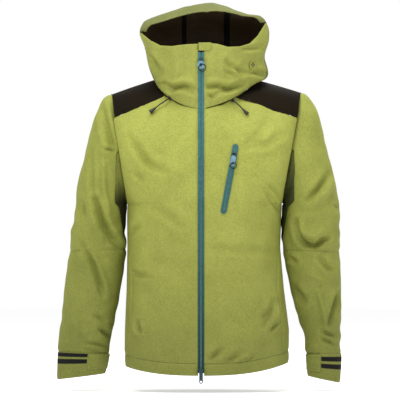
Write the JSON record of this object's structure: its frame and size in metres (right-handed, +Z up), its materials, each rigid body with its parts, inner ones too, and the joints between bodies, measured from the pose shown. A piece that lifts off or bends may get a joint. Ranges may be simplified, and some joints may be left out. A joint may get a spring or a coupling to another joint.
{
  "type": "hardshell jacket",
  "caption": "Hooded hardshell jacket hanging closed, with a two-way front zip, slanted chest zip, dark shoulder yokes and cuff tabs.",
  "frame": {"origin": "where the hanger loop inside the back neck rests on its hook", "axes": "+Z up, the front zip faces -Y, +X towards the wearer's left sleeve"},
  "size_m": [0.6725, 0.2929, 0.8944],
  "materials": {
    "shell_green": "matte woven",
    "dark_brown": "matte woven",
    "lining_brown": "soft knit lining",
    "zip_blue": "coated zip tape",
    "zip_plastic": "satin",
    "slider_metal": "satin",
    "slider_dark": "satin",
    "pull_plastic": "satin",
    "trim_black": "braided",
    "cord_plastic": "satin",
    "hook_tape": "hook-and-loop pile"
  },
  "bodies": {
    "shell": {"right_front_panel": "shell_green", "right_side_panel": "shell_green", "right_shoulder_yoke": "dark_brown", "right_hem_band": "shell_green", "left_front_panel": "shell_green", "left_side_panel": "shell_green", "left_shoulder_yoke": "dark_brown", "left_hem_band": "shell_green", "back_panel": "shell_green", "back_hem_band": "shell_green", "right_upper_sleeve": "shell_green", "right_underarm_gusset": "shell_green", "right_lower_sleeve": "shell_green", "right_cuff": "shell_green", "right_cuff_strip_upper": "hook_tape", "right_cuff_strip_lower": "hook_tape", "left_upper_sleeve": "shell_green", "left_underarm_gusset": "shell_green", "left_lower_sleeve": "shell_green", "left_cuff": "shell_green", "left_cuff_strip_upper": "hook_tape", "left_cuff_strip_lower": "hook_tape", "right_collar": "shell_green", "left_collar": "shell_green", "hood_right_panel": "shell_green", "hood_center_panel": "shell_green", "hood_left_panel": "shell_green", "hood_lining": "lining_brown", "hood_brim": "shell_green", "right_zip_tape": "zip_blue", "left_zip_tape": "zip_blue", "zip_coil": "zip_plastic", "storm_flap": "shell_green", "chin_guard": "shell_green", "chest_zip_tape": "zip_blue", "chest_zip_coil": "zip_plastic", "chest_pocket_bag": "lining_brown", "right_drawcord": "trim_black", "right_cord_eyelet": "cord_plastic", "right_cord_end": "cord_plastic", "left_drawcord": "trim_black", "left_cord_eyelet": "cord_plastic", "left_cord_end": "cord_plastic", "hood_vent_patch": "shell_green", "hanger_loop": "trim_black", "neck_tape": "trim_black"},
    "top_slider": {"top_slider": "slider_metal"},
    "top_pull": {"top_pull": "pull_plastic", "top_pull_loop": "trim_black"},
    "lower_slider": {"lower_slider": "slider_metal"},
    "lower_pull": {"lower_pull": "slider_metal"},
    "chest_slider": {"chest_slider": "slider_dark"},
    "chest_pull": {"chest_pull": "pull_plastic", "chest_pull_loop": "trim_black"},
    "right_cuff_tab": {"right_cuff_tab": "shell_green"},
    "left_cuff_tab": {"left_cuff_tab": "shell_green"}
  },
  "joints": [
    {"name": "top_slider_slide", "type": "slide", "parent": "shell", "child": "top_slider", "axis": [0, 0, -1], "range_m": [0, 0.42]},
    {"name": "top_pull_swing", "type": "hinge", "parent": "top_slider", "child": "top_pull", "pos_m": [0, -0.1962, 0.022], "axis": [-1, 0, 0], "range_deg": [0, 150]},
    {"name": "lower_slider_slide", "type": "slide", "parent": "shell", "child": "lower_slider", "axis": [0, 0, 1], "range_m": [0, 0.25]},
    {"name": "lower_pull_swing", "type": "hinge", "parent": "lower_slider", "child": "lower_pull", "pos_m": [0, -0.1962, -0.704], "axis": [-1, 0, 0], "range_deg": [0, 150]},
    {"name": "chest_slider_slide", "type": "slide", "parent": "shell", "child": "chest_slider", "axis": [-0.1832, 0, -0.9831], "range_m": [0, 0.12]},
    {"name": "chest_pull_swing", "type": "hinge", "parent": "chest_slider", "child": "chest_pull", "pos_m": [0.07696, -0.1976, -0.20055], "axis": [-0.9831, 0, 0.1832], "range_deg": [0, 150]},
    {"name": "right_cuff_tab_peel", "type": "hinge", "parent": "shell", "child": "right_cuff_tab", "pos_m": [-0.21905, -0.0511, -0.68468], "axis": [0.1776, -0.0065, 0.9841], "range_deg": [0, 70]},
    {"name": "left_cuff_tab_peel", "type": "hinge", "parent": "shell", "child": "left_cuff_tab", "pos_m": [0.2486, -0.05108, -0.68825], "axis": [0.0641, 0.0056, -0.9979], "range_deg": [0, 70]}
  ]
}
